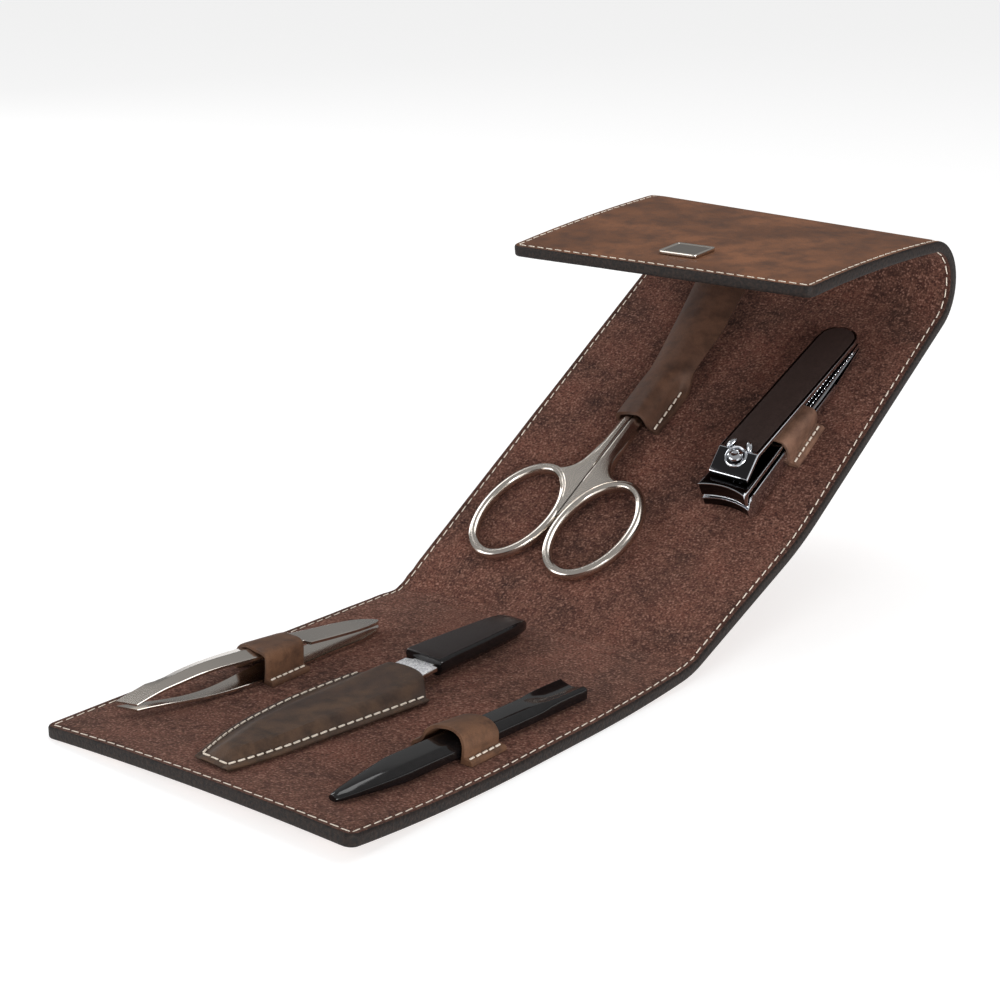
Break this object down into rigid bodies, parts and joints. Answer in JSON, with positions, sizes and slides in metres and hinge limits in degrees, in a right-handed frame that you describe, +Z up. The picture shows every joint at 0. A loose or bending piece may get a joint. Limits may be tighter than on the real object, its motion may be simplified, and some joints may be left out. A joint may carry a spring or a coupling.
{
  "type": "manicure set case",
  "caption": "Trifold leather case standing open, with suede lining, stitched straps, a sheath and a holster that hold tweezers, a nail file, a cuticle stick, scissors and a nail clipper.",
  "frame": {"origin": "on the underside of the front panel, where it lies flat, half way across the case", "axes": "+X to the right across the case, +Y from the front edge towards the fold and the bend, +Z up"},
  "size_m": [0.0898, 0.23, 0.0896],
  "materials": {
    "leather": "distressed, satin",
    "suede": "napped suede",
    "board": "matte board",
    "nickel": "polished nickel",
    "chrome": "mirror polished",
    "grit": "silver grit",
    "black": "gloss",
    "inlay": "satin"
  },
  "bodies": {
    "front_panel": {"outer_front": "leather", "board_front": "board", "lining_front": "suede", "outer_fold": "leather", "lining_fold": "suede", "tweezers_loop": "leather", "file_sheath": "leather", "stick_loop": "leather"},
    "back_panel": {"outer_back": "leather", "board_back": "board", "lining_back": "suede", "outer_bend": "leather", "lining_bend": "suede", "scissors_holster": "leather", "clipper_loop": "leather"},
    "flap": {"outer_flap": "leather", "board_flap": "board", "lining_flap": "suede", "badge_plate": "nickel"},
    "tweezers": {"tweezers_lower_arm": "nickel"},
    "tweezers_upper": {"tweezers_upper_arm": "nickel"},
    "file": {"file_blade": "grit", "file_handle": "black"},
    "stick": {"cuticle_stick": "black"},
    "scissors": {"scissors_left_half": "nickel", "scissors_screw": "nickel"},
    "scissors_right": {"scissors_right_half": "nickel"},
    "clipper": {"clipper_lower_jaw": "chrome", "clipper_rivet": "chrome"},
    "clipper_jaw": {"clipper_upper_jaw": "chrome"},
    "clipper_pin": {"clipper_post": "chrome"},
    "clipper_lever": {"clipper_lever": "chrome", "clipper_lever_inlay": "inlay"}
  },
  "joints": [
    {"name": "front_fold", "type": "hinge", "parent": "front_panel", "child": "back_panel", "pos_m": [0, 0.04806, 0.00251], "axis": [-1, 0, 0], "range_deg": [-95, 22], "deforming": ["outer_fold", "lining_fold"]},
    {"name": "flap_fold", "type": "hinge", "parent": "back_panel", "child": "flap", "pos_m": [0, 0.16352, 0.07874], "axis": [-1, 0, 0], "range_deg": [-18, 140], "deforming": ["outer_bend", "lining_bend"]},
    {"name": "tweezers_slide", "type": "slide", "parent": "front_panel", "child": "tweezers", "axis": [-0.0875, -0.996, 0.02], "range_m": [0, 0.04]},
    {"name": "tweezers_pinch", "type": "hinge", "parent": "tweezers", "child": "tweezers_upper", "pos_m": [-0.02766, 0.01547, 0.00511], "axis": [0.9962, -0.0875, 0.0002], "range_deg": [0, 0.55], "stiffness_Nm_per_rad": 2},
    {"name": "file_slide", "type": "slide", "parent": "front_panel", "child": "file", "axis": [0, 0.9999, -0.0106], "range_m": [0, 0.005]},
    {"name": "stick_slide", "type": "slide", "parent": "front_panel", "child": "stick", "axis": [-0.0216, -0.9976, 0.0655], "range_m": [0, 0.006]},
    {"name": "scissors_slide", "type": "slide", "parent": "back_panel", "child": "scissors", "axis": [0.0004, -0.8752, -0.4837], "range_m": [0, 0.009]},
    {"name": "scissors_open", "type": "hinge", "parent": "scissors", "child": "scissors_right", "pos_m": [-0.01405, 0.112, 0.04192], "axis": [0.0125, -0.5139, 0.8578], "range_deg": [0, 5]},
    {"name": "clipper_slide", "type": "slide", "parent": "back_panel", "child": "clipper", "axis": [-0.0047, -0.8717, -0.4901], "range_m": [0, 0.003]},
    {"name": "jaw_squeeze", "type": "hinge", "parent": "clipper", "child": "clipper_jaw", "pos_m": [0.02545, 0.13782, 0.05697], "axis": [0.9979, 0.0279, -0.0593], "range_deg": [0, 1], "stiffness_Nm_per_rad": 4},
    {"name": "lever_swing", "type": "hinge", "parent": "clipper", "child": "clipper_pin", "pos_m": [0.02492, 0.09837, 0.02956], "axis": [-0.065, 0.5343, -0.8428], "range_deg": [0, 90]},
    {"name": "lever_lift", "type": "hinge", "parent": "clipper_pin", "child": "clipper_lever", "pos_m": [0.02573, 0.09176, 0.03999], "axis": [0.9979, 0.0279, -0.0593], "range_deg": [0, 8]}
  ]
}
